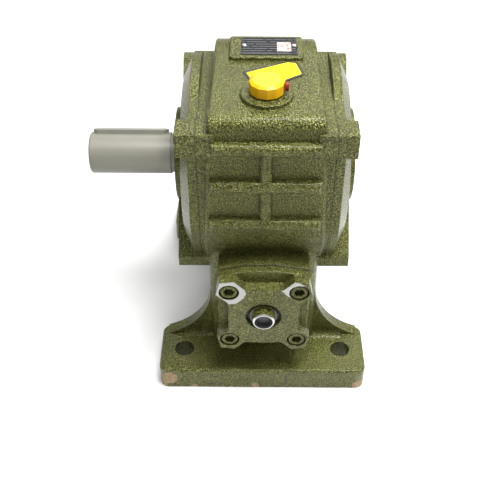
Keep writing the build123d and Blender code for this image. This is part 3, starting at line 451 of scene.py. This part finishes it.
groups = {
    housing_paint: ["housing"],
    cap_paint: ["front_worm_cap"],
    cover_paint: ["left_side_cover", "right_side_cover", "rear_worm_cap", "blind_end_cap"],
    screw_paint: ["front_cap_screws", "rear_cap_screws", "left_cover_bolts", "right_cover_bolts"],
    coated_steel(): ["output_shaft", "output_key"],
    worm_steel(worm_axis_z, stub_back_y, STUB_COLLAR_R, STUB_RECESS_R): ["worm_shaft"],
    steel: ["input_key", "wheel_key", "left_spacer", "right_spacer", "rim_pins",
            "drain_plug", "nameplate_rivets", "oil_glass_ring"],
    gasket_paper: ["left_cover_gasket", "right_cover_gasket", "front_cap_gasket", "rear_cap_gasket"],
    seal_rubber: ["output_oil_seal", "front_worm_seal", "rear_worm_seal"],
    bronze: ["worm_wheel_rim"],
    raw_iron: ["wheel_hub"],
    yellow: ["breather_plug"],
    red: ["vent_pin"],
    fibre: ["breather_washer", "drain_washer"],
    plate_black: ["nameplate"],
    lens_glass(): ["oil_glass_lens"],
    bearing_steel: [name for name in NODES if "bearing" in name],
}
for material, names in groups.items():
    for name in names:
        paint(name, material)


# ---------------------------------------------------------------- printed sheets
CARD_YELLOW = (0.80, 0.70, 0.01)
CARD_INK = (0.16, 0.13, 0.02)
PLATE_BLACK = (0.012, 0.012, 0.014)
PLATE_INK = (0.20, 0.20, 0.20)
CARD_ACROSS = (-0.49, 0.87, 0)
PLATE_ACROSS = (0, 1, 0)

card_face = ruled_print("card_print", CARD_YELLOW, CARD_INK, CARD_ACROSS, 0.0042, 0.0008)
card_sheet = bordered_sheet("warning_card", "card_sheet", 0.0026, plate_black, card_face)

plate_face = ruled_print(
    "plate_print", PLATE_BLACK, PLATE_INK, PLATE_ACROSS, 0.0045, 0.0007, panel=plate_panel
)
plate_sheet = bordered_sheet("nameplate", "plate_sheet", 0.0012, plate_black, plate_face)


# ---------------------------------------------------------------- stage, lights, camera
LAMP_TARGET = Vector((0, 0, 0.2))
FLOOR_HALF = 6.0
HORIZON_LEVEL = 0.13
ZENITH_LEVEL = 0.95
ZENITH_FROM = 0.9
DOME_STRENGTH = 0.75
PIXELS = 500
SENSOR_MM = 36.0
FOCAL_PIXELS = 797.7
CAMERA_AT = (-0.0128, -0.7296, 0.7469)
PITCH, YAW, ROLL = (math.radians(a) for a in (42.97, -0.19, -0.27))


def area_light(name, place, size, power):
    """Soft rectangular lamp aimed at the middle of the gearbox."""
    light = bpy.data.lights.new(name, "AREA")
    light.shape = "RECTANGLE"
    light.size, light.size_y = size
    light.energy = power
    lamp = bpy.data.objects.new(name, light)
    lamp.location = place
    lamp.rotation_euler = (LAMP_TARGET - Vector(place)).to_track_quat("-Z", "Y").to_euler()
    bpy.context.scene.collection.objects.link(lamp)


def make_floor():
    """Large pale floor under the feet."""
    mesh = bpy.data.meshes.new("floor")
    corners = [(x * FLOOR_HALF, y * FLOOR_HALF, 0) for x, y in ((-1, -1), (1, -1), (1, 1), (-1, 1))]
    mesh.from_pydata(corners, [], [(0, 1, 2, 3)])
    floor = bpy.data.objects.new("floor", mesh)
    bpy.context.scene.collection.objects.link(floor)
    m = Maker("floor_white")
    white = m.mix(m.noise(3, 2), (0.88, 0.88, 0.88), (0.90, 0.90, 0.90))
    mesh.materials.append(m.finish(white, 0.6))


def make_world():
    """Even studio dome, brighter overhead than at the horizon."""
    world = bpy.data.worlds.new("studio")
    bpy.context.scene.world = world
    world.use_nodes = True
    tree = world.node_tree
    background = tree.nodes["Background"]
    direction = tree.nodes.new("ShaderNodeTexCoord")
    split = tree.nodes.new("ShaderNodeSeparateXYZ")
    tree.links.new(direction.outputs["Generated"], split.inputs[0])
    fade = tree.nodes.new("ShaderNodeMapRange")
    tree.links.new(split.outputs["Z"], fade.inputs["Value"])
    fade.inputs["From Min"].default_value = 0.0
    fade.inputs["From Max"].default_value = ZENITH_FROM
    fade.inputs["To Min"].default_value = HORIZON_LEVEL
    fade.inputs["To Max"].default_value = ZENITH_LEVEL
    tree.links.new(fade.outputs["Result"], background.inputs["Color"])
    background.inputs["Strength"].default_value = DOME_STRENGTH


def make_camera():
    """Camera looking down at the stub end, pitched, turned and rolled by small angles."""
    level = math.cos(PITCH)
    view = Vector((math.sin(YAW) * level, math.cos(YAW) * level, -math.sin(PITCH)))
    right = Vector((math.cos(YAW), -math.sin(YAW), 0))
    up = right.cross(view)
    across = right * math.cos(ROLL) - up * math.sin(ROLL)
    upward = right * math.sin(ROLL) + up * math.cos(ROLL)
    data = bpy.data.cameras.new("camera")
    data.sensor_width = SENSOR_MM
    data.lens = FOCAL_PIXELS / PIXELS * SENSOR_MM
    camera = bpy.data.objects.new("camera", data)
    turn = Matrix((across, upward, -view)).transposed()
    camera.matrix_world = Matrix.Translation(CAMERA_AT) @ turn.to_4x4()
    bpy.context.scene.collection.objects.link(camera)
    bpy.context.scene.camera = camera


make_floor()
make_world()
make_camera()
area_light("overhead_key", (0.25, -0.18, 1.6), (0.7, 0.5), 34)
area_light("rear_soft", (0.3, 1.1, 1.3), (1.4, 0.8), 12)
area_light("right_soft", (1.3, -0.1, 0.9), (0.6, 0.6), 9)
area_light("front_fill", (-0.3, -1.8, 1.0), (1.6, 0.9), 0.8)

bpy.context.scene.view_settings.view_transform = "Standard"
